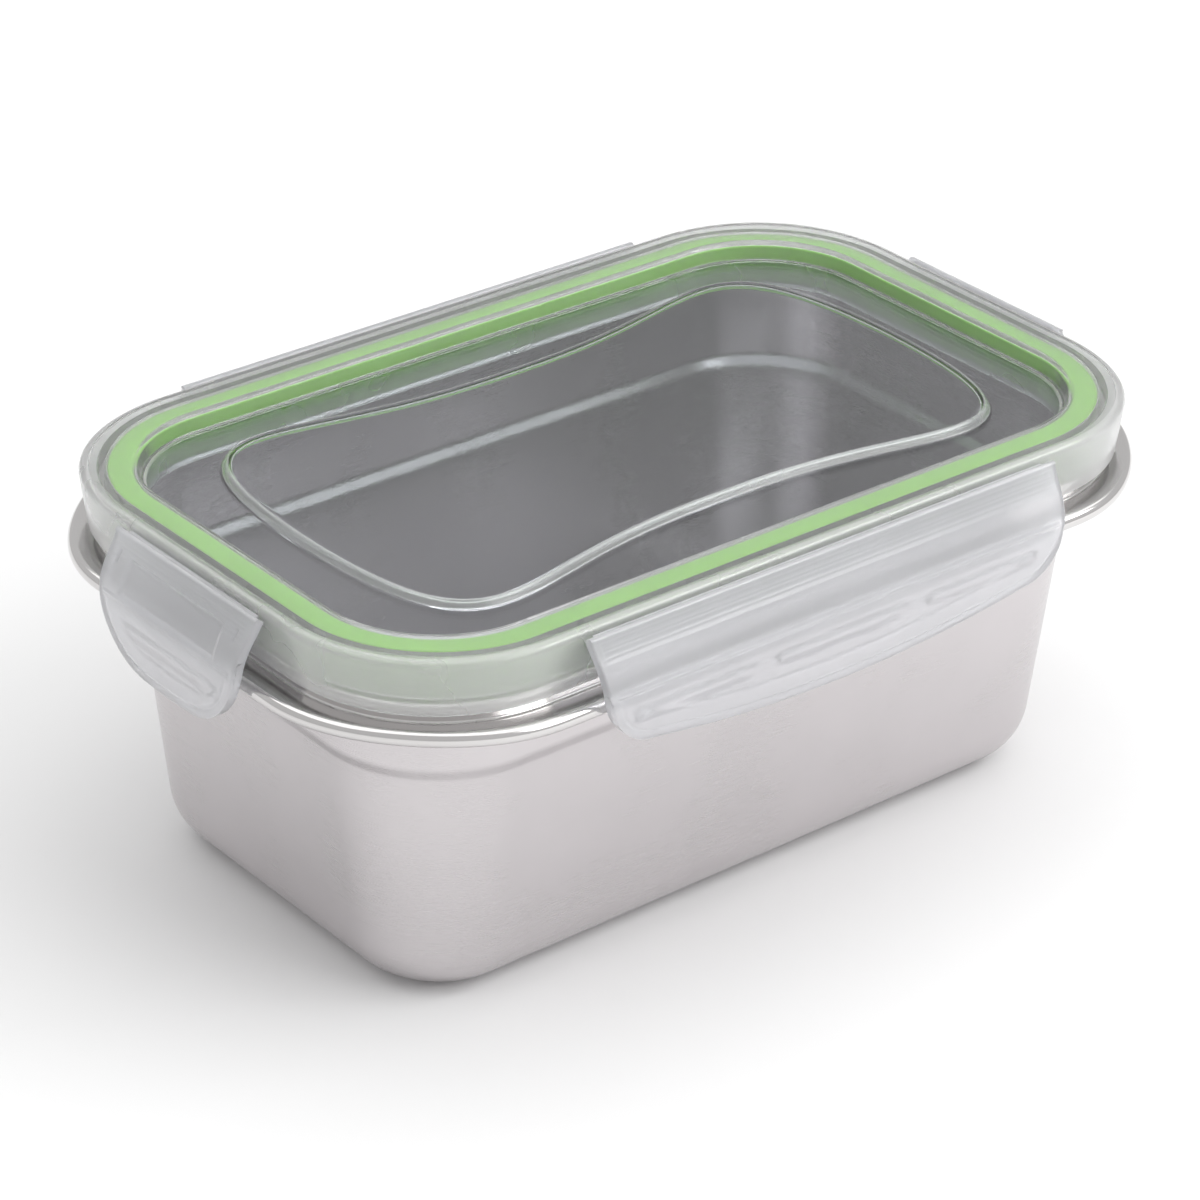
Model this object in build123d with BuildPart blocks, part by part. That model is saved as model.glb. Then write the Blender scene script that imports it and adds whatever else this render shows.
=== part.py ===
from build123d import *
import os

os.makedirs("parts", exist_ok=True)

# Driving dimensions, mm.  Every long outline of the box is one rounded rectangle
# set in by a constant amount, so a cross-section is written as (half width, height).
RIM_LENGTH = 200.0
RIM_WIDTH = 130.0
RIM_CORNER = 38.0
HALF = RIM_WIDTH / 2
END_SHIFT = (RIM_LENGTH - RIM_WIDTH) / 2

SHEET = 0.6
BASE_HALF = 45.3
BASE_FILLET = 11.6
FLOOR_HALF = 33.0
COLLAR_HALF = 51.9
SEAT_Z = 71.2

LID_TOP = 80.8
LID_HALF = 60.9
FLANGE = 1.2
SKIRT_LOW = 69.3
SKIRT_HALF = 59.7
PANEL_TOP = 77.2
PANEL = 1.2
PLUG_HALF = 49.5
PLUG_LOW = 70.1
PLATEAU_RISE = 1.6

HINGE_HALF = 62.5
HINGE_Z = 79.2
HINGE_R = 0.8
LEDGE_HALF = 60.9
WEB = 0.4

LONG_FLAP = 56.0
SHORT_FLAP = 22.0
FLAP_REACH = 68.0
CATCH_HALF = 65.25
BORDER_DEPTH = 2.1


def at(half, z):
    return (-half, z)


def ring_path():
    """Closed centre path the cross-sections follow, starting mid front side."""
    with BuildLine() as path:
        FilletPolyline(
            (0, -HALF),
            (RIM_LENGTH / 2, -HALF),
            (RIM_LENGTH / 2, HALF),
            (-RIM_LENGTH / 2, HALF),
            (-RIM_LENGTH / 2, -HALF),
            radius=[0, RIM_CORNER, RIM_CORNER, RIM_CORNER, RIM_CORNER],
            close=True,
        )
    return path.wire()


def make_container():
    """Drawn sheet-steel box: base, drafted walls, collar, gasket seat, rolled rim."""
    with BuildPart() as part:
        with BuildSketch(Plane.YZ):
            with BuildLine():
                FilletPolyline(
                    at(FLOOR_HALF, SHEET / 2),
                    at(BASE_HALF, SHEET / 2),
                    at(50.12, 46.0),
                    radius=BASE_FILLET,
                )
                FilletPolyline(
                    at(50.12, 46.0), at(50.66, 51.2), at(COLLAR_HALF, 53.6), at(COLLAR_HALF, 60.0), radius=3.0
                )
                FilletPolyline(
                    at(COLLAR_HALF, 60.0),
                    at(COLLAR_HALF, SEAT_Z - SHEET / 2),
                    at(55.5, SEAT_Z - SHEET / 2),
                    radius=1.6,
                )
                FilletPolyline(
                    at(55.5, SEAT_Z - SHEET / 2),
                    at(58.0, SEAT_Z - SHEET / 2),
                    at(58.0, 66.8),
                    at(61.0, 67.25),
                    radius=0.8,
                )
                FilletPolyline(
                    at(61.0, 67.25),
                    at(HALF - SHEET / 2, 67.79),
                    at(HALF - SHEET / 2, 65.15),
                    at(62.9, 65.15),
                    radius=1.2,
                )
                offset(amount=SHEET / 2, side=Side.BOTH)
            make_face()
        sweep(path=ring_path())
        with BuildSketch(Plane.XY):
            RectangleRounded(
                2 * (FLOOR_HALF + END_SHIFT), 2 * FLOOR_HALF, RIM_CORNER - (HALF - FLOOR_HALF)
            )
        extrude(amount=SHEET)
    part.part.label = "container"
    return part.part


def make_lid():
    """Clear plastic lid: skirt, gasket channel, plug, sunk window panel, hinge ledges."""
    panel_low = PANEL_TOP - PANEL
    panel_edge = PLUG_HALF - 0.7
    with BuildPart() as part:
        with BuildSketch(Plane.YZ):
            with BuildLine():
                FilletPolyline(
                    at(PLUG_HALF, PLUG_LOW),
                    at(PLUG_HALF + 1.5, PLUG_LOW),
                    at(PLUG_HALF + 1.5, LID_TOP - FLANGE),
                    at(56.3, LID_TOP - FLANGE),
                    at(56.3, 72.0),
                    at(57.7, 72.0),
                    at(57.7, LID_TOP - FLANGE),
                    at(LID_HALF - 1.5, LID_TOP - FLANGE),
                    at(SKIRT_HALF - 1.4, SKIRT_LOW),
                    at(SKIRT_HALF, SKIRT_LOW),
                    at(LID_HALF, LID_TOP),
                    at(50.4, LID_TOP),
                    at(49.6, PANEL_TOP),
                    at(panel_edge, PANEL_TOP),
                    at(panel_edge, panel_low),
                    at(PLUG_HALF, panel_low),
                    radius=[0.4, 0.4, 0.3, 0.3, 0.4, 0.4, 0.3, 0.3, 0.4, 0.4, 1.5, 1.8, 0.5, 0, 0, 0.3],
                    close=True,
                )
            make_face()
        sweep(path=ring_path())
        with BuildSketch(Plane.XY.offset(panel_low)):
            RectangleRounded(
                2 * (panel_edge + END_SHIFT), 2 * panel_edge, RIM_CORNER - (HALF - panel_edge)
            )
        extrude(amount=PANEL)
        with BuildSketch(Plane.XY.offset(PANEL_TOP)):
            add(plateau_outline(0.7))
        extrude(amount=PLATEAU_RISE, taper=38)
        with BuildSketch(Plane.XY.offset(panel_low)):
            add(plateau_outline(-0.2))
        extrude(amount=PLATEAU_RISE, taper=38, mode=Mode.SUBTRACT)
        ledge_z = HINGE_Z - 0.1
        for side in (-1, 1):
            with Locations((0, side * (LEDGE_HALF - 0.5), ledge_z)):
                Box(2 * LONG_FLAP - 2, 1.0, 1.7)
            with Locations((side * (LEDGE_HALF - 0.5 + END_SHIFT), 0, ledge_z)):
                Box(1.0, 2 * SHORT_FLAP - 2, 1.7)
    part.part.label = "lid"
    return part.part


def plateau_outline(grow):
    """Waisted raised field of the window, each edge set out by grow."""
    with BuildSketch() as field:
        with BuildLine():
            ThreePointArc((-62.7, -42.7), (0, -32.8 - grow / 2), (62.7, -42.7))
            ThreePointArc((62.7, -42.7), (72.3 + grow, 0), (62.7, 42.7))
            ThreePointArc((62.7, 42.7), (0, 32.8 + grow / 2), (-62.7, 42.7))
            ThreePointArc((-62.7, 42.7), (-72.3 - grow, 0), (-62.7, -42.7))
        make_face()
        fillet(field.vertices(), radius=12)
    return field.sketch


def make_gasket():
    """Silicone ring: block in the channel, foot on the seat, lip inside the mouth."""
    with BuildPart() as part:
        with BuildSketch(Plane.YZ):
            with BuildLine():
                FilletPolyline(
                    at(51.3, 79.4),
                    at(56.0, 79.4),
                    at(56.0, SEAT_Z + 0.15),
                    at(53.9, SEAT_Z + 0.15),
                    at(53.9, 73.6),
                    at(52.1, 73.6),
                    at(52.1, 70.9),
                    at(51.3, 70.9),
                    radius=[0.6, 0.6, 0.8, 0.8, 0.5, 0.5, 0.3, 0.3],
                    close=True,
                )
            make_face()
        sweep(path=ring_path())
    part.part.label = "gasket"
    return part.part


def outer_points(inset):
    """Outside of a flap from hinge to lower edge, set in by inset."""
    return [
        at(63.3 - inset, HINGE_Z),
        at(64.5 - inset, 77.1),
        at(66.1 - inset, 74.5),
        at(67.2 - inset, 72.0),
        at(67.8 - inset, 69.6),
        at(FLAP_REACH - inset, 66.0),
        at(67.95 - inset, 62.0),
        at(67.85 - inset, 58.0),
        at(67.6 - inset, 54.0),
    ]


def flap_section():
    """Even wall of a flap with the round hinge edge on the joint axis."""
    with BuildSketch() as section:
        with BuildLine():
            outside = Spline(outer_points(0))
            inside = Spline(outer_points(1.55))
            Line(outside @ 0, inside @ 0)
            Line(outside @ 1, inside @ 1)
        make_face()
        with Locations(at(HINGE_HALF, HINGE_Z)):
            Circle(HINGE_R)
    return section.sketch


def border_section():
    """Slightly deeper section used along the flap's ends and lower edge."""
    with BuildSketch() as section:
        with BuildLine():
            outside = Spline(outer_points(0))
            inside = Spline(outer_points(BORDER_DEPTH))
            Line(outside @ 0, inside @ 0)
            Line(outside @ 1, inside @ 1)
        make_face()
    return section.sketch


def catch_section():
    """Bevelled rib that sits under the steel rim."""
    with BuildSketch() as section:
        with BuildLine():
            Polyline(
                at(66.9, 64.9), at(CATCH_HALF, 64.2), at(CATCH_HALF, 63.5), at(66.9, 61.9), close=True
            )
        make_face()
    return section.sketch


def pad_section():
    """Shallow recess cut into the face of a short flap."""
    with BuildSketch() as section:
        with BuildLine():
            outside = Spline(outer_points(-1))
            inside = Spline(outer_points(0.45))
            Line(outside @ 0, inside @ 0)
            Line(outside @ 1, inside @ 1)
        make_face()
        with Locations((-64.5, 73.6)):
            Rectangle(12, 7.2, mode=Mode.INTERSECT)
    return section.sketch


def flap_outline(kind, inset):
    """Front view of a flap; kind is long or short, inset moves the border in."""
    if kind == "long":
        side, low, drop, top, corner = 54.2, 60.45, 54.9, LONG_FLAP, 10.0
    else:
        side, low, drop, top, corner = 20.8, 57.95, 55.8, SHORT_FLAP, 15.0
    high = 80.3
    with BuildSketch() as outline:
        with BuildLine():
            ThreePointArc((inset - side, low + inset), (0, drop + inset), (side - inset, low + inset))
            Line((side - inset, low + inset), (top - inset, high))
            Line((top - inset, high), (inset - top, high))
            Line((inset - top, high), (inset - side, low + inset))
        make_face()
        fillet(outline.vertices().sort_by(Axis.Y)[:2], radius=corner - inset)
    return outline.sketch


def make_flap(kind, label, turn, shift):
    """One locking flap, drawn at the front and turned to its side."""
    long_side = kind == "long"
    reach = LONG_FLAP if long_side else SHORT_FLAP
    with BuildPart() as wall:
        with BuildSketch(Plane.YZ):
            add(flap_section())
        extrude(amount=reach + 1, both=True)
        with BuildSketch(Plane.XZ):
            add(flap_outline(kind, 0))
        extrude(amount=80, both=True, mode=Mode.INTERSECT)
        if not long_side:
            with BuildSketch(Plane.YZ):
                add(pad_section())
            extrude(amount=15, both=True, mode=Mode.SUBTRACT)
    with BuildPart() as border:
        with BuildSketch(Plane.YZ):
            add(border_section())
        extrude(amount=reach + 1, both=True)
        with BuildSketch(Plane.XZ):
            add(flap_outline(kind, 0))
            add(flap_outline(kind, 1.6), mode=Mode.SUBTRACT)
        extrude(amount=80, both=True, mode=Mode.INTERSECT)
    with BuildPart() as catch:
        with BuildSketch(Plane.YZ):
            add(catch_section())
        extrude(amount=16 if long_side else 14, both=True)
        if long_side:
            with BuildSketch(Plane.YZ.offset(-34.5), Plane.YZ.offset(34.5)):
                add(catch_section())
            extrude(amount=14, both=True)
    with BuildPart() as part:
        add(wall.part)
        add(border.part)
        add(catch.part)
    placed = part.part.rotate(Axis.Z, turn).translate(shift)
    placed.label = label
    return placed


def make_web(length, label, turn, shift):
    """Thin living hinge between lid ledge and flap edge."""
    with BuildPart() as part:
        with Locations((0, -(LEDGE_HALF + HINGE_HALF - HINGE_R) / 2, HINGE_Z)):
            Box(length, HINGE_HALF - HINGE_R - LEDGE_HALF - 0.02, WEB)
    placed = part.part.rotate(Axis.Z, turn).translate(shift)
    placed.label = label
    return placed


container = make_container()
lid = make_lid()
gasket = make_gasket()
front_flap = make_flap("long", "front_flap", 0, (0, 0, 0))
back_flap = make_flap("long", "back_flap", 180, (0, 0, 0))
left_flap = make_flap("short", "left_flap", -90, (-END_SHIFT, 0, 0))
right_flap = make_flap("short", "right_flap", 90, (END_SHIFT, 0, 0))
front_web = make_web(2 * LONG_FLAP - 4, "front_hinge_web", 0, (0, 0, 0))
back_web = make_web(2 * LONG_FLAP - 4, "back_hinge_web", 180, (0, 0, 0))
left_web = make_web(2 * SHORT_FLAP - 4, "left_hinge_web", -90, (-END_SHIFT, 0, 0))
right_web = make_web(2 * SHORT_FLAP - 4, "right_hinge_web", 90, (END_SHIFT, 0, 0))

export_step(container, "parts/container.step")
export_step(lid, "parts/lid.step")
export_step(gasket, "parts/gasket.step")
export_step(front_flap, "parts/front_flap.step")
export_step(back_flap, "parts/back_flap.step")
export_step(left_flap, "parts/left_flap.step")
export_step(right_flap, "parts/right_flap.step")
export_step(front_web, "parts/front_hinge_web.step")
export_step(back_web, "parts/back_hinge_web.step")
export_step(left_web, "parts/left_hinge_web.step")
export_step(right_web, "parts/right_hinge_web.step")
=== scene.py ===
import math
import bmesh
import bpy
from mathutils import Matrix, Vector


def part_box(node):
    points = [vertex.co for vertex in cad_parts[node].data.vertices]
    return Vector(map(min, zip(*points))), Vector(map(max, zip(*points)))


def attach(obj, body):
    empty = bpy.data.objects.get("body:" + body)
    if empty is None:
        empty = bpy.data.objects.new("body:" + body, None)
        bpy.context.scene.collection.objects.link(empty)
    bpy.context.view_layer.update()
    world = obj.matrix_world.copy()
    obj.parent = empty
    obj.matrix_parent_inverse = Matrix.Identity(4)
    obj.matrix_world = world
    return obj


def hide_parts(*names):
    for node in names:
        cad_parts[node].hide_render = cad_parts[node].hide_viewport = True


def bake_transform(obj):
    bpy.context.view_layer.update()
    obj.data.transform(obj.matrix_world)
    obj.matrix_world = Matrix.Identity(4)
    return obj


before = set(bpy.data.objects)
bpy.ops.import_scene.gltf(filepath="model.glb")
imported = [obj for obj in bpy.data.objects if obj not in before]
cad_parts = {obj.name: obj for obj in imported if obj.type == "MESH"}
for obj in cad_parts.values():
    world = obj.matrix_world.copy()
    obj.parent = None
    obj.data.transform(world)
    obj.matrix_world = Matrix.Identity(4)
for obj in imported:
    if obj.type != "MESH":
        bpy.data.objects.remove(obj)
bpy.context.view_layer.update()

# Sizes are in millimetres, heights above the base.  Every long outline of the box is one
# rounded rectangle set in by a constant amount, so a cross-section is written as
# (half width, height) and swept round the box.
MM = 0.001
RIM = [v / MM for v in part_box("container")[1]]
LID_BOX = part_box("lid")
LID = [v / MM for v in LID_BOX[1]]
GASKET = [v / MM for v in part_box("gasket")[1]]
LONG_FLAP = [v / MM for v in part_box("front_flap")[1]]
SHORT_FLAP = [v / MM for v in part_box("left_flap")[1]]
FLAP_REACH = -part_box("front_flap")[0].y / MM
RIM_HALF = RIM[1]
END_SHIFT = RIM[0] - RIM[1]
RIM_CORNER = 38.0
CORE = RIM_HALF - RIM_CORNER
CORE_X = CORE + END_SHIFT
SEAT_Z = RIM[2]
LID_TOP = LID[2]
HINGE_HALF = 62.5
HINGE_Z = 79.2
KNUCKLE = 0.8
LEDGE_HALF = 60.9
LONG_WEB = 108.0
SHORT_WEB = 40.0

SHEET = 0.6
PLUG_HALF = 49.5
SKIRT_LOW = LID_BOX[0].z / MM
SKIRT_HALF = 59.7
PANEL_HALF = 48.8
PANEL_TOP = 77.2
PANEL = 1.2
FLANGE = 1.2
PLATEAU_RISE = 1.6

RIM_CUT = 1.4
LID_SWELL = 0.6
CORNER_STEPS = 28
SIDE_STEPS = 16


# ---------------------------------------------------------------- outlines

def rounded(points, radii, closed=True, step=12.0):
    """Polyline through points with each vertex rounded to its radius; step is degrees per segment."""
    count = len(points)
    line = []
    for i, (point, radius) in enumerate(zip(points, radii)):
        if radius <= 0 or (not closed and i in (0, count - 1)):
            line.append(tuple(point))
            continue
        here = Vector(point)
        back = (Vector(points[i - 1]) - here).normalized()
        ahead = (Vector(points[(i + 1) % count]) - here).normalized()
        half_angle = back.angle(ahead) / 2
        centre = here + (back + ahead).normalized() * radius / math.sin(half_angle)
        turn = math.pi - 2 * half_angle
        reach = radius / math.tan(half_angle)
        start = here + back * reach - centre
        sign = 1 if back.x * ahead.y - back.y * ahead.x < 0 else -1
        segments = max(2, round(math.degrees(turn) / step))
        for k in range(segments + 1):
            angle = sign * turn * k / segments
            cos, sin = math.cos(angle), math.sin(angle)
            spoke = Vector((start.x * cos - start.y * sin, start.x * sin + start.y * cos))
            line.append(tuple(centre + spoke))
    return line


def soft_step(value, low, high):
    t = min(max((value - low) / (high - low), 0), 1)
    return t * t * (3 - 2 * t)


def hump(value, middle, width):
    """A smooth rise of 1 at the middle that fades out at width."""
    return 1 - soft_step(abs(value - middle), 0, width)


def offset_line(line, distance):
    """An open polyline moved sideways by distance, to the left of its direction."""
    moved = []
    for i, point in enumerate(line):
        before = Vector(line[max(i - 1, 0)])
        after = Vector(line[min(i + 1, len(line) - 1)])
        along = (after - before).normalized()
        moved.append((point[0] - along.y * distance, point[1] + along.x * distance))
    return moved


def smooth_curve(points, steps=6):
    """Catmull-Rom curve through points, as a denser polyline."""
    ends = [[2 * a - b for a, b in zip(points[0], points[1])]]
    tail = [[2 * a - b for a, b in zip(points[-1], points[-2])]]
    knots = ends + [list(p) for p in points] + tail
    line = []
    for i in range(1, len(knots) - 2):
        p0, p1, p2, p3 = (Vector(k) for k in knots[i - 1:i + 3])
        for k in range(steps):
            t = k / steps
            line.append(tuple(0.5 * (
                2 * p1 + (p2 - p0) * t
                + (2 * p0 - 5 * p1 + 4 * p2 - p3) * t ** 2
                + (3 * p1 - p0 - 3 * p2 + p3) * t ** 3
            )))
    line.append(tuple(points[-1]))
    return line


def stations():
    """Places round the box, counterclockwise: anchor, outward way, distance, share of a corner's middle."""
    places = []
    corners = [(-1, -1, 180), (1, -1, 270), (1, 1, 0), (-1, 1, 90)]
    travelled = 0.0
    arc = math.radians(90) * (PLUG_HALF - CORE + 5) / CORNER_STEPS
    for i, (sx, sy, start) in enumerate(corners):
        here = Vector((sx * CORE_X, sy * CORE))
        nx, ny, _ = corners[(i + 1) % 4]
        there = Vector((nx * CORE_X, ny * CORE))
        for k in range(CORNER_STEPS):
            angle = math.radians(start + 90 * k / CORNER_STEPS)
            share = math.sin(2 * angle) ** 2
            places.append((here, Vector((math.cos(angle), math.sin(angle))), travelled, share))
            travelled += arc
        way = Vector((math.cos(math.radians(start + 90)), math.sin(math.radians(start + 90))))
        for k in range(SIDE_STEPS):
            share = k / SIDE_STEPS
            places.append((here.lerp(there, share), way, travelled, 0.0))
            travelled += (there - here).length / SIDE_STEPS
    return places, travelled


PLACES, ROUND = stations()


def ring_point(place, half, height, swell=0.0):
    """Point of a cross-section at one place; swell moves it out at the middle of a corner."""
    anchor, way, _, corner = place
    flat = anchor + way * (half - CORE + swell * corner)
    return Vector((flat.x, flat.y, height)) * MM


# ---------------------------------------------------------------- mesh helpers

class Shell:
    """Collects vertices, faces, texture coordinates and material numbers of one piece."""

    def __init__(self):
        self.mesh = bmesh.new()
        self.uv = self.mesh.loops.layers.uv.new("UVMap")

    def face(self, verts, coords=None, material=0):
        made = self.mesh.faces.new(verts)
        made.smooth = True
        made.material_index = material
        for k, loop in enumerate(made.loops):
            flat = coords[k] if coords else (loop.vert.co.x, loop.vert.co.y)
            loop[self.uv].uv = flat
        return made

    def row(self, points):
        return [self.mesh.verts.new(p) for p in points]

    def bridge(self, low, high, v0, v1, lengths=None, material=0):
        """Quads between two closed rows with the same number of vertices."""
        count = len(low)
        for j in range(count):
            n = (j + 1) % count
            u0 = lengths[j] if lengths else j * MM
            u1 = lengths[j + 1] if lengths else (j + 1) * MM
            self.face(
                (low[j], low[n], high[n], high[j]),
                ((u0, v0), (u1, v0), (u1, v1), (u0, v1)),
                material,
            )

    def zip_rows(self, outer, inner, material=0):
        """Flat band between two closed rows that circle the origin and may differ in count."""

        def turn(vert):
            return math.atan2(vert.co.y, vert.co.x) % (2 * math.pi)

        def ordered(row):
            first = min(range(len(row)), key=lambda k: turn(row[k]))
            spun = row[first:] + row[:first]
            return spun + spun[:1], [turn(v) for v in spun] + [turn(spun[0]) + 2 * math.pi]

        far, far_turn = ordered(outer)
        near, near_turn = ordered(inner)
        i = j = 0
        while i < len(far) - 1 or j < len(near) - 1:
            step_far = j == len(near) - 1 or (i < len(far) - 1 and far_turn[i + 1] <= near_turn[j + 1])
            if step_far:
                self.face((far[i], far[i + 1], near[j]), None, material)
                i += 1
            else:
                self.face((far[i], near[j + 1], near[j]), None, material)
                j += 1

    def fan(self, row, centre, material=0):
        """Flat cap from a closed row to a point inside it."""
        hub = self.mesh.verts.new(centre)
        for j in range(len(row)):
            self.face((row[j], row[(j + 1) % len(row)], hub), None, material)

    def finish(self, name, materials, sharp=32.0):
        bmesh.ops.recalc_face_normals(self.mesh, faces=self.mesh.faces)
        data = bpy.data.meshes.new(name)
        self.mesh.to_mesh(data)
        self.mesh.free()
        for material in materials:
            data.materials.append(material)
        if sharp:
            data.set_sharp_from_angle(angle=math.radians(sharp))
        obj = bpy.data.objects.new(name, data)
        bpy.context.scene.collection.objects.link(obj)
        return obj


def ring_rows(shell, profile, material=0, closed=False, materials=None, swell=None):
    """Sweeps a (half, height) profile round the box and returns its rows of vertices."""
    lengths = [p[2] * MM for p in PLACES] + [ROUND * MM]
    rows = []
    for h, z in profile:
        extra = swell(h) if swell else 0.0
        rows.append(shell.row([ring_point(p, h, z, extra) for p in PLACES]))
    travelled = 0.0
    count = len(profile)
    for i in range(count if closed else count - 1):
        n = (i + 1) % count
        gap = (Vector(profile[n]) - Vector(profile[i])).length * MM
        number = materials[i] if materials else material
        shell.bridge(rows[i], rows[n], travelled, travelled + gap, lengths, number)
        travelled += gap
    return rows


# ---------------------------------------------------------------- materials

def new_material(name):
    material = bpy.data.materials.new(name)
    material.use_nodes = True
    tree = material.node_tree
    return material, tree, tree.nodes["Principled BSDF"]


def node(tree, kind, **settings):
    made = tree.nodes.new(kind)
    for key, value in settings.items():
        if key in made.inputs:
            made.inputs[key].default_value = value
        else:
            setattr(made, key, value)
    return made


def ramp(tree, source, low, high, dark, light):
    """Maps a 0 to 1 value between low and high onto two colours or greys."""
    made = node(tree, "ShaderNodeMapRange")
    made.inputs["From Min"].default_value = low
    made.inputs["From Max"].default_value = high
    made.inputs["To Min"].default_value = dark
    made.inputs["To Max"].default_value = light
    tree.links.new(source, made.inputs["Value"])
    return made.outputs["Result"]


def colour_mix(tree, factor, first, second):
    made = node(tree, "ShaderNodeMix", data_type="RGBA")
    made.inputs["A"].default_value = (*first, 1)
    made.inputs["B"].default_value = (*second, 1)
    tree.links.new(factor, made.inputs["Factor"])
    return made.outputs["Result"]


def noise_texture(tree, source, scale, detail=3.0, stretch=(1, 1, 1), roughness=0.5):
    """Noise on object or texture coordinates, stretched along the axes."""
    coordinates = node(tree, "ShaderNodeTexCoord")
    mapping = node(tree, "ShaderNodeMapping")
    mapping.inputs["Scale"].default_value = stretch
    texture = node(tree, "ShaderNodeTexNoise", Scale=scale, Detail=detail, Roughness=roughness)
    tree.links.new(coordinates.outputs[source], mapping.inputs["Vector"])
    tree.links.new(mapping.outputs["Vector"], texture.inputs["Vector"])
    return texture.outputs["Fac"]


def bump(tree, shader, height, strength, distance):
    made = node(tree, "ShaderNodeBump", Strength=strength, Distance=distance)
    tree.links.new(height, made.inputs["Height"])
    tree.links.new(made.outputs["Normal"], shader.inputs["Normal"])


def steel_material(name, grain_depth, rough_low, rough_high, colour=(0.66, 0.635, 0.63)):
    """Satin stainless steel: grain lines that run round the box, cloudy polish, tiny scratches."""
    material, tree, shader = new_material(name)
    shader.inputs["Metallic"].default_value = 1.0
    grain = noise_texture(tree, "UV", 1.0, 2.0, (60, 9000, 1), 0.6)
    cloud = noise_texture(tree, "Object", 28.0, 4.0)
    scratch = noise_texture(tree, "UV", 1.0, 0.0, (14, 2600, 1))
    darker = tuple(c * 0.93 for c in colour)
    tint = colour_mix(tree, ramp(tree, cloud, 0.3, 0.7, 0.0, 1.0), darker, colour)
    tree.links.new(tint, shader.inputs["Base Color"])
    polish = node(tree, "ShaderNodeMath", operation="MULTIPLY_ADD")
    tree.links.new(ramp(tree, grain, 0.3, 0.7, -0.5, 0.5), polish.inputs[0])
    polish.inputs[1].default_value = (rough_high - rough_low) * 0.5
    tree.links.new(ramp(tree, cloud, 0.3, 0.7, rough_low, rough_high), polish.inputs[2])
    tree.links.new(polish.outputs["Value"], shader.inputs["Roughness"])
    both = node(tree, "ShaderNodeMath", operation="MULTIPLY_ADD")
    tree.links.new(scratch, both.inputs[0])
    both.inputs[1].default_value = 0.35
    tree.links.new(grain, both.inputs[2])
    bump(tree, shader, both.outputs["Value"], grain_depth, 0.00002)
    return material


def plastic_material(name, colour, transmission, rough, haze, coat=0.0):
    """Moulded polypropylene: rough see-through body, fine moulded texture, faint flow marks, waxy gloss."""
    material, tree, shader = new_material(name)
    shader.inputs["IOR"].default_value = 1.49
    shader.inputs["Transmission Weight"].default_value = transmission
    shader.inputs["Coat Weight"].default_value = coat
    shader.inputs["Coat Roughness"].default_value = 0.12
    flow = noise_texture(tree, "Object", 40.0, 3.0)
    fine = noise_texture(tree, "Object", 900.0, 2.0)
    hazier = tuple(c * haze for c in colour)
    tint = colour_mix(tree, ramp(tree, flow, 0.3, 0.7, 0.0, 1.0), hazier, colour)
    tree.links.new(tint, shader.inputs["Base Color"])
    tree.links.new(ramp(tree, flow, 0.3, 0.7, rough * 0.85, rough * 1.15), shader.inputs["Roughness"])
    bump(tree, shader, fine, 0.15, 0.00003)
    return material


def silicone_material():
    """Soft green seal: satin, faintly clouded, with a fine moulded grain."""
    material, tree, shader = new_material("green_silicone")
    shader.inputs["IOR"].default_value = 1.41
    shader.inputs["Subsurface Weight"].default_value = 0.15
    shader.inputs["Subsurface Radius"].default_value = (0.002, 0.003, 0.001)
    shader.inputs["Sheen Weight"].default_value = 0.1
    cloud = noise_texture(tree, "Object", 60.0, 3.0)
    fine = noise_texture(tree, "Object", 1400.0, 2.0)
    tint = colour_mix(
        tree, ramp(tree, cloud, 0.3, 0.7, 0.0, 1.0), (0.32, 0.80, 0.06), (0.36, 0.88, 0.08)
    )
    tree.links.new(tint, shader.inputs["Base Color"])
    tree.links.new(ramp(tree, cloud, 0.3, 0.7, 0.42, 0.55), shader.inputs["Roughness"])
    bump(tree, shader, fine, 0.3, 0.00004)
    return material


def floor_material():
    material, tree, shader = new_material("studio_paper")
    cloud = noise_texture(tree, "Object", 3.0, 2.0)
    tint = colour_mix(tree, cloud, (0.86, 0.86, 0.86), (0.88, 0.88, 0.88))
    tree.links.new(tint, shader.inputs["Base Color"])
    shader.inputs["Roughness"].default_value = 0.9
    return material


STEEL = steel_material("satin_steel", 0.35, 0.24, 0.32, (0.655, 0.625, 0.635))
POLISHED = steel_material("polished_steel", 0.1, 0.10, 0.16, (0.70, 0.685, 0.68))
FLANGE_PLASTIC = plastic_material("frosted_flange_plastic", (0.98, 0.99, 0.99), 0.93, 0.16, 0.985, 0.3)
SKIRT_PLASTIC = plastic_material("milky_skirt_plastic", (0.99, 0.995, 0.99), 0.79, 0.28, 0.985, 0.5)
CLEAR = plastic_material("clear_window_plastic", (0.93, 0.975, 1.0), 1.0, 0.015, 0.995)
# Milky white band on the window field's shoulder: a painted highlight standing in for the bright refracted
# line of the clear shoulder.
SHOULDER_HIGHLIGHT_PLASTIC = plastic_material("shoulder_painted_highlight_plastic", (0.93, 0.97, 0.96), 0.78, 0.25, 0.98, 0.2)
FLAP_PLASTIC = plastic_material("flap_plastic", (0.905, 0.91, 0.935), 0.74, 0.34, 0.97, 0.8)
SILICONE = silicone_material()


# ---------------------------------------------------------------- pieces

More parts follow.
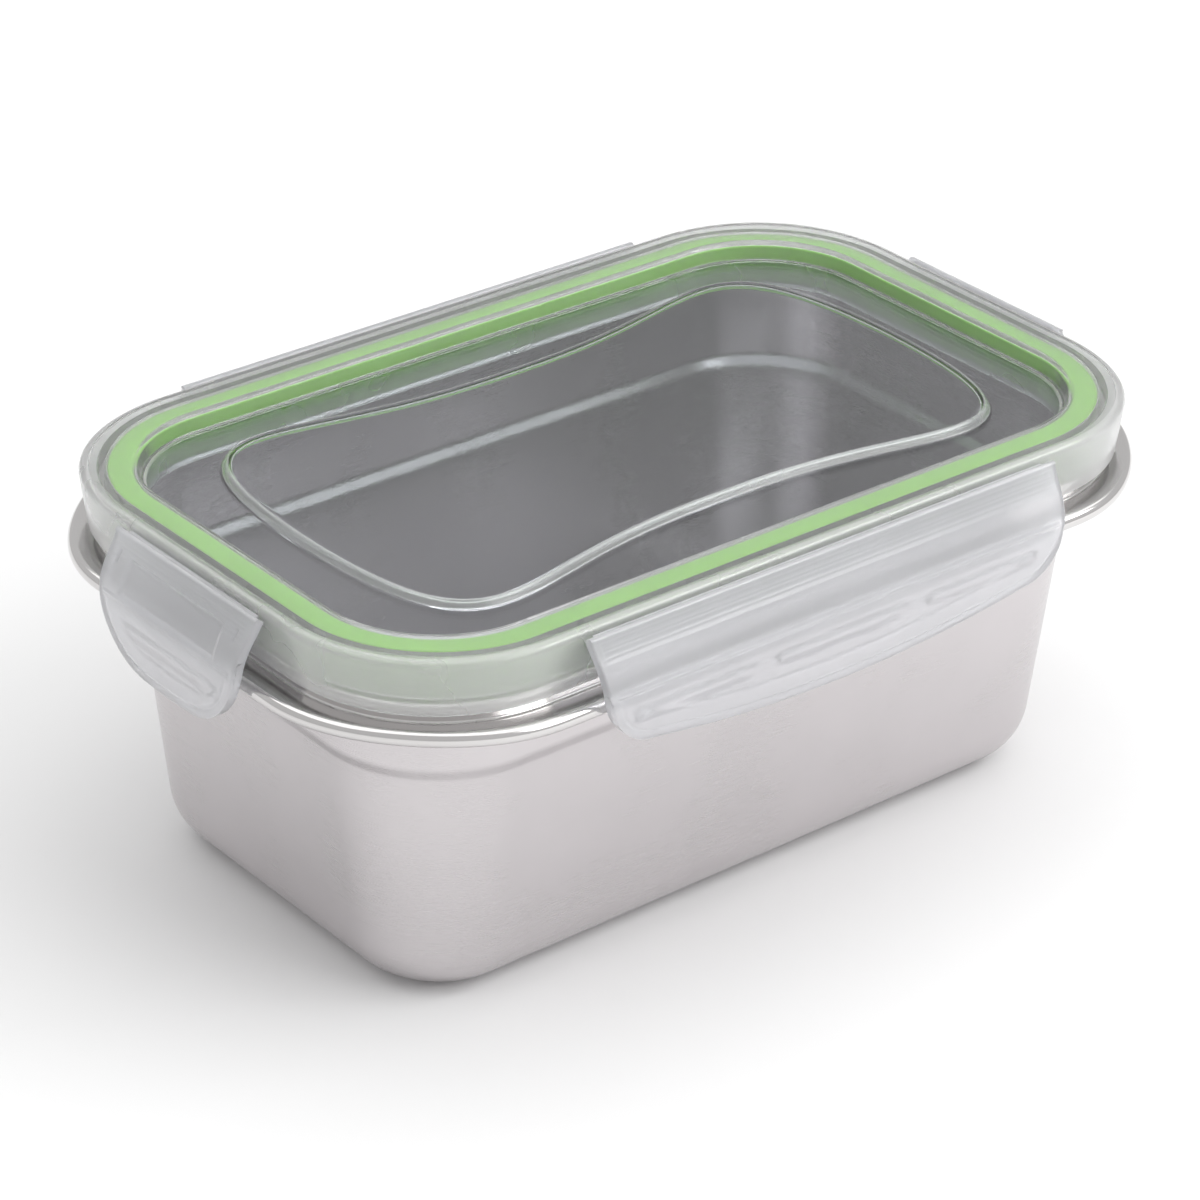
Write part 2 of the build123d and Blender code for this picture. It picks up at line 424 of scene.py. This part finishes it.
def make_container():
    """Drawn steel box: floor, fillet, drafted wall, stepped collar, flat seat, creased rolled rim."""
    base, collar, floor = 45.3, 51.9, 33.0
    seat = SEAT_Z - SHEET / 2
    bead = RIM_HALF - SHEET / 2
    crease_z = 66.8
    centre = (
        [(floor, SHEET / 2), (floor + 1, SHEET / 2)]
        + rounded([(floor + 2, SHEET / 2), (base, SHEET / 2), (50.12, 46)], [0, 11.6, 0], False, 6)
        + rounded([(50.3, 48), (50.66, 51.2), (collar, 53.6), (collar, 60)], [0, 3, 3, 0], False, 4)
        + rounded([(collar, 62), (collar, seat), (55.5, seat)], [0, 1.6, 0], False, 9)
        + rounded([(56, seat), (58, seat), (58, 66.8), (61, 67.25)], [0, 0.8, 0.8, 0], False, 9)
        + rounded([(61.8, 67.37), (bead, 67.79), (bead, 65.15), (62.9, 65.15)], [0, 1.2, 1.2, 0], False, 4)
    )
    inside = offset_line(centre, SHEET / 2)
    outside = []
    for h, z in offset_line(centre, -SHEET / 2):
        crease = 0.35 * hump(z, crease_z, 0.3) if h > RIM_HALF - 1 else 0.0
        outside.append((h - crease, z))
    profile = inside + outside[::-1]
    shell = Shell()
    polished_from, polished_above, cut_from = 57, 60, 58
    polished = [1 if h > polished_from and z > polished_above else 0 for h, z in profile]

    def corner_cut(h):
        return -RIM_CUT * soft_step(h, cut_from, RIM_HALF)

    rows = ring_rows(shell, profile, materials=polished, swell=corner_cut)
    shell.face(rows[0])
    shell.face(rows[-1])
    obj = shell.finish("steel_container", [STEEL, POLISHED])
    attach(obj, "container")
    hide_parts("container")
    return obj


def waisted_outline(grow):
    """Edge of the window's raised field: a squared ellipse with a waist and bulged ends, set out by grow."""
    points, power, flare_power = 320, 5, 2.5
    end_x, end_bulge, waist_y, waist_flare = 72.3, 7.5, 32.8, 17.0
    line = []
    for k in range(points):
        angle = 2 * math.pi * k / points
        x, y = math.cos(angle), math.sin(angle)
        unit = (abs(x) ** power + abs(y) ** power) ** (-1 / power)
        x, y = x * unit, y * unit
        flare = waist_flare * abs(x) ** flare_power
        line.append(Vector(((end_x - end_bulge * y * y) * x, (waist_y + flare) * y)))
    placed = []
    for k, point in enumerate(line):
        along = (line[(k + 1) % points] - line[k - 1]).normalized()
        placed.append(point + Vector((along.y, -along.x)) * grow)
    return placed


def plateau_rows(shell, level, grow, material, shoulder_highlight):
    """Window's raised field: a shoulder band in milky white plastic as a painted highlight, standing in for
    the bright line the clear shoulder shows by refraction, and a clear top; returns the row at its foot.
    """
    steps = [
        (0.9, 0), (0.5, 0), (0.25, 0.1), (0.0, 0.4), (-0.3, 1.0), (-0.55, 1.4),
        (-0.8, 1.56), (-1.1, PLATEAU_RISE), (-1.6, PLATEAU_RISE), (-2.0, PLATEAU_RISE),
    ]
    rows = []
    for out, rise in steps:
        outline = waisted_outline(grow + out)
        height = level + rise
        rows.append(shell.row([Vector((p.x, p.y, height)) * MM for p in outline]))
    for k, (low, high) in enumerate(zip(rows, rows[1:])):
        # The shoulder slope rows get the painted highlight material; the foot and the top stay clear.
        shell.bridge(low, high, 0, MM, None, shoulder_highlight if 1 < k < 7 else material)
    shell.fan(rows[-1], Vector((0, 0, level + PLATEAU_RISE)) * MM, material)
    return rows[0]


def make_lid():
    """One moulding: frosted skirt, gasket channel and rib, and a clear window with a raised field."""
    low = PANEL_TOP - PANEL
    under = LID_TOP - FLANGE
    outer = LID[1]
    plug_out, plug_low = 51.0, 70.1
    rib_in, rib_out, rib_low = 56.3, 57.7, 72.0
    clear_flange_end = 56.8
    frame_profile = rounded(
        [
            (PANEL_HALF, PANEL_TOP), (49.6, PANEL_TOP), (50.4, LID_TOP), (outer, LID_TOP),
            (SKIRT_HALF, SKIRT_LOW), (SKIRT_HALF - 1.4, SKIRT_LOW), (outer - 1.5, under),
            (rib_out, under), (rib_out, rib_low), (rib_in, rib_low), (rib_in, under), (plug_out, under),
            (plug_out, plug_low), (PLUG_HALF, plug_low), (PLUG_HALF, low), (PANEL_HALF, low),
        ],
        [0, 0.5, 1.2, 1.5, 0.5, 0.5, 0.4, 0.3, 0.4, 0.4, 0.3, 0.3, 0.4, 0.4, 0.3, 0],
        closed=False,
        step=15,
    )
    guard = 0.6
    profile = [(PANEL_HALF - guard, PANEL_TOP)] + frame_profile + [(PANEL_HALF - guard, low)]
    shell = Shell()
    last = len(profile) - 2
    numbers = [0 if z > PANEL_TOP and h < clear_flange_end else 1 for h, z in profile]
    numbers[0] = numbers[last] = 2

    def corner_swell(h):
        return LID_SWELL * soft_step(h, rib_out, outer)

    rows = ring_rows(shell, profile, materials=numbers, swell=corner_swell)
    top_foot = plateau_rows(shell, PANEL_TOP, 0.3, 2, 3)
    shell.zip_rows(rows[0], top_foot, 2)
    low_foot = plateau_rows(shell, low, -0.6, 2, 2)
    shell.zip_rows(rows[-1], low_foot, 2)
    obj = shell.finish("lid_moulding", [FLANGE_PLASTIC, SKIRT_PLASTIC, CLEAR, SHOULDER_HIGHLIGHT_PLASTIC])
    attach(obj, "lid")
    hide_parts("lid")
    return obj


def make_gasket():
    """Silicone ring with a block in the channel, a foot on the seat and a lip inside the mouth."""
    top = GASKET[2]
    foot = SEAT_Z + 0.15
    profile = rounded(
        [
            (51.3, top), (56.0, top), (56.0, foot), (53.9, foot),
            (53.9, 73.6), (52.1, 73.6), (52.1, 70.9), (51.3, 70.9),
        ],
        [0.6, 0.6, 0.8, 0.8, 0.5, 0.5, 0.3, 0.3],
        step=15,
    )
    shell = Shell()
    ring_rows(shell, profile, closed=True)
    obj = shell.finish("silicone_gasket", [SILICONE])
    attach(obj, "lid")
    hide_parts("gasket")
    return obj


# ---------------------------------------------------------------- flaps

FLAP_FACE = smooth_curve([
    (63.3, HINGE_Z), (64.5, 77.1), (66.1, 74.5), (67.2, 72.0), (67.8, 69.6),
    (FLAP_REACH, 66.0), (67.95, 62.0), (67.85, 58.0), (67.6, 54.0),
])
WALL = 1.55
BORDER = 1.6
BORDER_DEPTH = 2.1
RIDGE_Z = 69.7


def along_curve(line, height):
    """Half width of a falling (half, height) line at that height."""
    for (h0, z0), (h1, z1) in zip(line, line[1:]):
        if z0 >= height >= z1:
            return h0 + (h1 - h0) * (z0 - height) / max(z0 - z1, 1e-6)
    return line[-1][0] if height < line[-1][1] else line[0][0]


class Flap:
    """Shape of one locking flap in its own front view: x along the side, height, half width."""

    def __init__(self, long_side):
        self.long_side = long_side
        self.top = LONG_FLAP[0] if long_side else SHORT_FLAP[1]
        self.low = self.top - (1.8 if long_side else 1.2)
        self.end_z, self.mid_z, self.corner = (60.45, 54.9, 10.0) if long_side else (57.95, 55.8, 15.0)
        self.catches = [(-48.5, -20.5), (-16, 16), (20.5, 48.5)] if long_side else [(-14, 14)]
        self.core_x = self.low + 0.5 - self.corner
        self.core_z = self.lip(self.core_x) + self.corner

    def lip(self, x):
        return self.mid_z + (self.end_z - self.mid_z) * (x / self.low) ** 2

    def lowest(self, x):
        """Height of the lower edge at x, with its rounded corners."""
        past = min(max(abs(x) - self.core_x, 0), self.corner)
        if past <= 0:
            return self.lip(x)
        return self.core_z - math.sqrt(self.corner ** 2 - past ** 2)

    def width(self, z):
        return self.low + (self.top - self.low) * (z - self.end_z) / (HINGE_Z - self.end_z)

    def from_edge(self, x, z):
        """Distance in from the ends and the lower edge."""
        past, under = abs(x) - self.core_x, self.core_z - z
        if past > 0 and under > 0:
            return self.corner - math.hypot(past, under)
        return min(self.width(z) - abs(x), z - self.lowest(x))

    def face(self, x, z):
        """Outer surface: rounded edge, hinge grooves, ridge, lip line and the short flap's pad."""
        half = along_curve(FLAP_FACE, z)
        edge = max(self.from_edge(x, z), 0)
        round_edge = 0.5
        if edge < round_edge:
            half -= round_edge - math.sqrt(round_edge ** 2 - (round_edge - edge) ** 2)
        inside = soft_step(edge, 1.2, 1.9)
        for k in range(4):
            half -= 0.11 * inside * hump(z, 78.3 - 0.75 * k, 0.3)
        half += 0.32 * inside * hump(z, RIDGE_Z, 0.6)
        half -= 0.14 * hump(edge, 2.0, 0.35) * soft_step(RIDGE_Z - z, 0.5, 2.0)
        if not self.long_side:
            pad = min(15 - abs(x), z - 70.3, 77.0 - z)
            half -= 0.5 * soft_step(pad, 0, 0.6)
            half -= 0.35 * hump(abs(x), 18.4, 0.45) * soft_step(min(z - 74.6, 77.6 - z), 0, 0.5)
        return min(half, FLAP_REACH - 0.02)

    def back(self, x, z):
        """Inner surface: even wall, deeper border at the ends and lip, catch ribs, stiffening rib."""
        field = along_curve(FLAP_FACE, z) - WALL
        edge = max(self.from_edge(x, z), 0)
        rib = 1 - abs(z - 63.85) / 1.7
        for start, stop in self.catches:
            reach = soft_step(min(x - start, stop - x), -0.1, 0.3)
            field -= max(min(rib * 1.6, 1.2), 0) * reach
        field -= 0.4 * hump(edge, 4.6, 0.7) * soft_step(RIDGE_Z - z, 4.0, 6.0)
        return field - (BORDER_DEPTH - WALL) * (1 - soft_step(edge, BORDER - 0.25, BORDER + 0.25))

    def columns(self):
        """Shares of the half width, close together near the ends."""
        gaps = [0, 0.12, 0.27, 0.45, 0.7, 1.0, 1.3, 1.5, 1.65, 1.85, 2.1]
        while gaps[-1] < self.corner + 2:
            gaps.append(gaps[-1] + 0.45)
        while gaps[-1] < self.low - 1.5:
            gaps.append(gaps[-1] + 1.5)
        side = [1 - g / self.top for g in gaps]
        return side + [0.0] + [-t for t in reversed(side)]

    def rows(self, x):
        """Heights from the hinge to the lower edge at x."""
        upper, lower = 32, 44
        split = self.core_z + 1.0
        heights = [HINGE_Z + (split - HINGE_Z) * k / upper for k in range(upper)]
        foot = self.lowest(x)
        gaps = [0, 0.12, 0.27, 0.45, 0.7, 1.0]
        start = foot + 1.4
        heights += [split + (start - split) * k / lower for k in range(lower)]
        reach = min(1.0, (split - foot) / 3)
        return heights + [foot + g * reach for g in reversed(gaps)]


def make_flap(name, node_name, body, long_side, turn, shift):
    """Locking flap, swept column by column and turned to its side of the box."""
    flap = Flap(long_side)
    shell = Shell()
    spin = Matrix.Rotation(math.radians(turn), 3, "Z")
    loops = []
    for share in flap.columns():
        outside, inside = [], []
        for z in flap.rows(share * (flap.low + 0.5)):
            x = share * flap.width(z)
            outside.append((x, flap.face(x, z), z))
            inside.append((x, flap.back(x, z), z))
        x = share * flap.width(HINGE_Z)
        knuckle = []
        for k in range(1, 6):
            angle = math.radians(180 - 30 * k)
            knuckle.append((x, HINGE_HALF + KNUCKLE * math.cos(angle), HINGE_Z + KNUCKLE * math.sin(angle)))
        section = outside + inside[::-1] + knuckle
        loops.append(shell.row([
            (spin @ Vector((x, -half, z)) + Vector(shift)) * MM for x, half, z in section
        ]))
    for k, (first, second) in enumerate(zip(loops, loops[1:])):
        shell.bridge(first, second, k * MM, (k + 1) * MM)
    shell.face(loops[0])
    shell.face(loops[-1])
    obj = shell.finish(name, [FLAP_PLASTIC], sharp=38.0)
    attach(obj, body)
    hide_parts(node_name)
    return obj


def make_web(name, node_name, length, turn, shift):
    """Living hinge: a thin strip, thinnest along its middle, that spans from ledge to flap."""
    gap, thick = 0.01, 0.2
    start = LEDGE_HALF + gap
    stop = HINGE_HALF - KNUCKLE - gap
    steps = 8
    spin = Matrix.Rotation(math.radians(turn), 3, "Z")
    shell = Shell()
    section = []
    for k in range(steps + 1):
        share = k / steps
        section.append((start + (stop - start) * share, thick * (1 - 0.35 * math.sin(math.pi * share))))
    line = [(h, t) for h, t in section] + [(h, -t) for h, t in reversed(section)]
    loops = []
    pieces = 24
    for k in range(pieces + 1):
        x = length * (k / pieces - 0.5)
        loops.append(shell.row([
            (spin @ Vector((x, -h, HINGE_Z + t)) + Vector(shift)) * MM for h, t in line
        ]))
    for k, (first, second) in enumerate(zip(loops, loops[1:])):
        shell.bridge(first, second, k * MM, (k + 1) * MM)
    shell.face(loops[0])
    shell.face(loops[-1])
    obj = shell.finish(name, [FLAP_PLASTIC])
    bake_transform(obj)
    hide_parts(node_name)
    return obj


def make_flaps():
    sides = [("front", True, 0), ("right", False, 90), ("back", True, 180), ("left", False, 270)]
    for side, long_side, turn in sides:
        shift = (END_SHIFT * math.sin(math.radians(turn)), 0, 0)
        length = LONG_WEB if long_side else SHORT_WEB
        body = side + "_flap"
        make_flap(side + "_locking_flap", body, body, long_side, turn, shift)
        make_web(side + "_living_hinge", side + "_hinge_web", length, turn, shift)


def make_camera():
    """Long lens at the height and side the box is seen from."""
    azimuth, elevation, roll = math.radians(-39.42), math.radians(28.99), math.radians(0.947)
    distance, aim = 832.21, Vector((-1.0, 1.6, 41.1))
    back = Vector((
        math.sin(azimuth) * math.cos(elevation),
        -math.cos(azimuth) * math.cos(elevation),
        math.sin(elevation),
    ))
    side = Vector((math.cos(azimuth), math.sin(azimuth), 0))
    rise = back.cross(side)
    right = side * math.cos(roll) + rise * math.sin(roll)
    up = rise * math.cos(roll) - side * math.sin(roll)
    data = bpy.data.cameras.new("camera")
    data.sensor_width = 36.0
    data.lens = 128.11
    data.clip_end = 60.0
    camera = bpy.data.objects.new("camera", data)
    bpy.context.scene.collection.objects.link(camera)
    turn = Matrix((right, up, back)).transposed().to_4x4()
    camera.matrix_world = Matrix.Translation((aim + back * distance) * MM) @ turn
    bpy.context.scene.camera = camera


def area_light(name, place, target, size, power, colour=(1, 1, 1)):
    data = bpy.data.lights.new(name, "AREA")
    data.shape = "RECTANGLE"
    data.size, data.size_y = size
    data.energy = power
    data.color = colour
    light = bpy.data.objects.new(name, data)
    bpy.context.scene.collection.objects.link(light)
    light.location = place
    light.rotation_euler = (Vector(place) - Vector(target)).to_track_quat("Z", "Y").to_euler()
    return light


def make_studio():
    """Pale floor and soft light from all round, a little stronger from above and the front right."""
    shell = Shell()
    reach = 6.0
    square = [(-reach, -reach), (reach, -reach), (reach, reach), (-reach, reach)]
    shell.face(shell.row([Vector((x, y, 0)) for x, y in square]))
    floor = shell.finish("studio_floor", [floor_material()], sharp=None)
    world = bpy.data.worlds.new("studio")
    bpy.context.scene.world = world
    world.use_nodes = True
    world.node_tree.nodes["Background"].inputs["Color"].default_value = (1, 1, 1, 1)
    world.node_tree.nodes["Background"].inputs["Strength"].default_value = 0.66
    area_light("top_softbox", (0.1, 0.15, 1.3), (0, 0, 0), (2.2, 2.0), 13.0)
    area_light("front_softbox", (0.5, -1.1, 0.9), (0.1, -0.2, 0), (0.9, 0.6), 5.2)
    area_light("shoulder_strip", (0.67, -0.52, 0.78), (0, 0, 0.07), (0.45, 0.25), 2.4)
    view = bpy.context.scene.view_settings
    view.view_transform = "Standard"


make_camera()
make_studio()
make_container()
make_lid()
make_gasket()
make_flaps()
